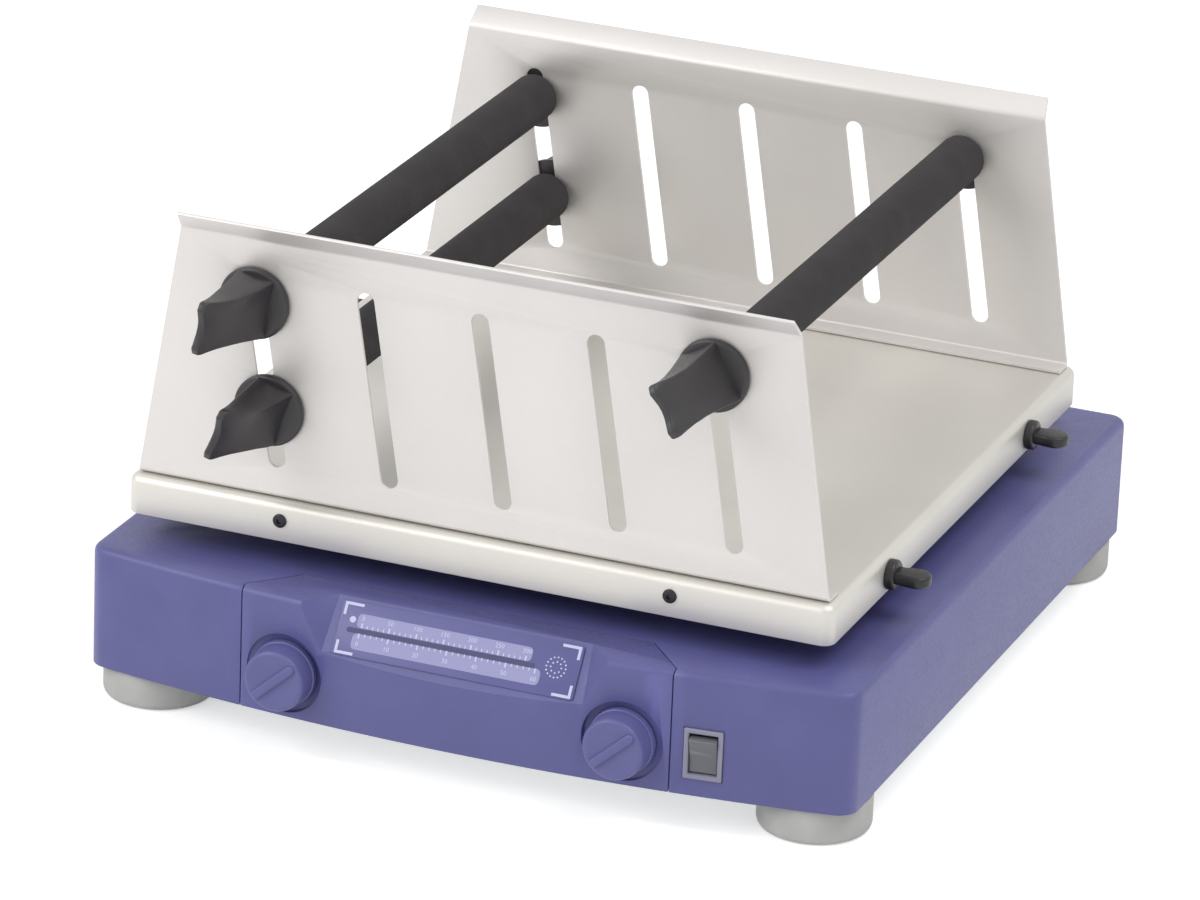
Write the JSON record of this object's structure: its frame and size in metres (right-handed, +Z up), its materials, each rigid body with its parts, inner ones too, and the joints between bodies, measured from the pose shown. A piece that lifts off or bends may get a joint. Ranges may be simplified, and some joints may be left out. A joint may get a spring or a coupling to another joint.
{
  "type": "reciprocal shaker",
  "caption": "Bench shaker with a low blue drive housing, scales and two knobs, and a stainless rack whose slotted walls hold clamped foam rollers.",
  "frame": {"origin": "centre of the footprint of the whole object, on the surface that the feet stand on", "axes": "+X to the right as one faces the control panel, along the stroke; +Y to the back, away from the control panel; +Z up"},
  "size_m": [0.38, 0.4192, 0.2359],
  "materials": {
    "housing_blue": "satin violet-blue enamel with a fine orange-peel",
    "panel_blue": "satin violet-blue moulded front, in the housing's colour",
    "knob_blue": "satin violet-blue moulded knob",
    "scale_foil": "printed foil with plain white scale marks",
    "foot_grey": "pale grey matte rubber",
    "switch_frame": "light grey moulded frame",
    "rocker": "dark grey moulded rocker",
    "stainless_sheet": "bent stainless sheet with a fine matt brushed grain",
    "roller_foam": "black open-pored foam sleeve",
    "turned_steel": "turned and ground steel",
    "wing_knob_black": "black moulded plastic with a slight sheen",
    "clamp_black": "black moulded plastic",
    "lip_screw": "blackened screw head",
    "machined_aluminium": "milled aluminium",
    "zinc_sheet": "zinc-plated steel sheet",
    "motor_case": "grey motor case",
    "belt_rubber": "black drive belt",
    "circuit_board": "green circuit board",
    "inlet_black": "black moulded inlet"
  },
  "bodies": {
    "base": {"housing": "housing_blue", "base_plate": "zinc_sheet", "foot_front_left": "foot_grey", "foot_front_right": "foot_grey", "foot_rear_left": "foot_grey", "foot_rear_right": "foot_grey", "control_panel": "panel_blue", "scale_foil": "scale_foil", "control_board": "circuit_board", "switch_frame": "switch_frame", "mains_inlet": "inlet_black", "guide_block_left": "machined_aluminium", "guide_block_right": "machined_aluminium", "guide_rod_front": "turned_steel", "guide_rod_rear": "turned_steel", "crank_spindle": "turned_steel", "motor": "motor_case", "motor_bracket": "zinc_sheet", "drive_belt": "belt_rubber"},
    "power_rocker": {"power_rocker": "rocker"},
    "speed_knob": {"speed_knob": "knob_blue"},
    "timer_knob": {"timer_knob": "knob_blue"},
    "crank": {"crank_wheel": "machined_aluminium", "crank_pin": "turned_steel"},
    "motor_rotor": {"motor_pulley": "machined_aluminium"},
    "connecting_rod": {"connecting_rod": "turned_steel"},
    "table": {"carriage_plate": "zinc_sheet", "bearing_block_front_left": "machined_aluminium", "table_post_front_left": "machined_aluminium", "bearing_block_front_right": "machined_aluminium", "table_post_front_right": "machined_aluminium", "bearing_block_rear_left": "machined_aluminium", "table_post_rear_left": "machined_aluminium", "bearing_block_rear_right": "machined_aluminium", "table_post_rear_right": "machined_aluminium", "wrist_pin": "turned_steel", "table_plate": "machined_aluminium", "rack_tray": "stainless_sheet", "lip_screw_left": "lip_screw", "lip_screw_right": "lip_screw", "front_wall": "stainless_sheet", "rear_wall": "stainless_sheet"},
    "roller_upper_left": {"foam_roller_upper_left": "roller_foam", "roller_rod_upper_left": "turned_steel"},
    "roller_lower_left": {"foam_roller_lower_left": "roller_foam", "roller_rod_lower_left": "turned_steel"},
    "roller_right": {"foam_roller_right": "roller_foam", "roller_rod_right": "turned_steel"},
    "wing_knob_front_upper_left": {"wing_knob_front_upper_left": "wing_knob_black"},
    "wing_knob_rear_upper_left": {"wing_knob_rear_upper_left": "wing_knob_black"},
    "wing_knob_front_lower_left": {"wing_knob_front_lower_left": "wing_knob_black"},
    "wing_knob_rear_lower_left": {"wing_knob_rear_lower_left": "wing_knob_black"},
    "wing_knob_front_right": {"wing_knob_front_right": "wing_knob_black"},
    "wing_knob_rear_right": {"wing_knob_rear_right": "wing_knob_black"},
    "tray_clamp_front_left": {"tray_clamp_front_left": "clamp_black"},
    "tray_clamp_rear_left": {"tray_clamp_rear_left": "clamp_black"},
    "tray_clamp_front_right": {"tray_clamp_front_right": "clamp_black"},
    "tray_clamp_rear_right": {"tray_clamp_rear_right": "clamp_black"}
  },
  "joints": [
    {"name": "rocker_tilt", "type": "hinge", "parent": "base", "child": "power_rocker", "pos_m": [0.12258, -0.18979, 0.0375], "axis": [0.9934, 0.1148, 0], "range_deg": [-24, 0]},
    {"name": "speed_turn", "type": "hinge", "parent": "base", "child": "speed_knob", "pos_m": [-0.0769, -0.19658, 0.038], "axis": [0, 1, 0], "range_deg": [0, 300]},
    {"name": "timer_turn", "type": "hinge", "parent": "base", "child": "timer_knob", "pos_m": [0.0859, -0.19658, 0.038], "axis": [0, 1, 0], "range_deg": [0, 300]},
    {"name": "crank_spin", "type": "hinge", "parent": "base", "child": "crank", "pos_m": [-0.052, 0.00058, 0.0271], "axis": [0, 0, 1], "continuous": true},
    {"name": "motor_spin", "type": "hinge", "parent": "base", "child": "motor_rotor", "pos_m": [-0.052, 0.13428, 0.0271], "axis": [0, 0, 1], "continuous": true},
    {"name": "rod_pivot", "type": "hinge", "parent": "crank", "child": "connecting_rod", "pos_m": [-0.052, 0.01058, 0.0341], "axis": [0, 0, 1], "continuous": true},
    {"name": "table_slide", "type": "slide", "parent": "base", "child": "table", "axis": [1, 0, 0], "range_m": [-0.01, 0.01]},
    {"name": "roller_slide_upper_left", "type": "slide", "parent": "table", "child": "roller_upper_left", "axis": [-0.165, 0, 0.9863], "range_m": [-0.008, 0.008]},
    {"name": "roller_slide_lower_left", "type": "slide", "parent": "table", "child": "roller_lower_left", "axis": [-0.165, 0, 0.9863], "range_m": [-0.023, 0.0075]},
    {"name": "roller_slide_right", "type": "slide", "parent": "table", "child": "roller_right", "axis": [-0.165, 0, 0.9863], "range_m": [-0.078, 0.003]},
    {"name": "knob_turn_front_upper_left", "type": "hinge", "parent": "roller_upper_left", "child": "wing_knob_front_upper_left", "pos_m": [-0.11031, -0.16192, 0.1974], "axis": [0, 1, 0], "range_deg": [-180, 0]},
    {"name": "knob_turn_rear_upper_left", "type": "hinge", "parent": "roller_upper_left", "child": "wing_knob_rear_upper_left", "pos_m": [-0.11031, 0.16308, 0.1974], "axis": [0, 1, 0], "range_deg": [0, 180]},
    {"name": "knob_turn_front_lower_left", "type": "hinge", "parent": "roller_lower_left", "child": "wing_knob_front_lower_left", "pos_m": [-0.10202, -0.16192, 0.14789], "axis": [0, 1, 0], "range_deg": [-180, 0]},
    {"name": "knob_turn_rear_lower_left", "type": "hinge", "parent": "roller_lower_left", "child": "wing_knob_rear_lower_left", "pos_m": [-0.10202, 0.16308, 0.14789], "axis": [0, 1, 0], "range_deg": [0, 180]},
    {"name": "knob_turn_front_right", "type": "hinge", "parent": "roller_right", "child": "wing_knob_front_right", "pos_m": [0.10826, -0.16192, 0.20238], "axis": [0, 1, 0], "range_deg": [-180, 0]},
    {"name": "knob_turn_rear_right", "type": "hinge", "parent": "roller_right", "child": "wing_knob_rear_right", "pos_m": [0.10826, 0.16308, 0.20238], "axis": [0, 1, 0], "range_deg": [0, 180]},
    {"name": "clamp_turn_front_left", "type": "hinge", "parent": "table", "child": "tray_clamp_front_left", "pos_m": [-0.17, -0.09442, 0.0957], "axis": [-1, 0, 0], "range_deg": [0, 180]},
    {"name": "clamp_turn_rear_left", "type": "hinge", "parent": "table", "child": "tray_clamp_rear_left", "pos_m": [-0.17, 0.09558, 0.0957], "axis": [-1, 0, 0], "range_deg": [0, 180]},
    {"name": "clamp_turn_front_right", "type": "hinge", "parent": "table", "child": "tray_clamp_front_right", "pos_m": [0.17, -0.09442, 0.0957], "axis": [1, 0, 0], "range_deg": [0, 180]},
    {"name": "clamp_turn_rear_right", "type": "hinge", "parent": "table", "child": "tray_clamp_rear_right", "pos_m": [0.17, 0.09558, 0.0957], "axis": [1, 0, 0], "range_deg": [0, 180]}
  ],
  "couplings": [
    {"joint": "motor_spin", "follows": "crank_spin", "ratio": 2.4599},
    {"joint": "rod_pivot", "follows": "crank_spin", "ratio": -1}
  ]
}
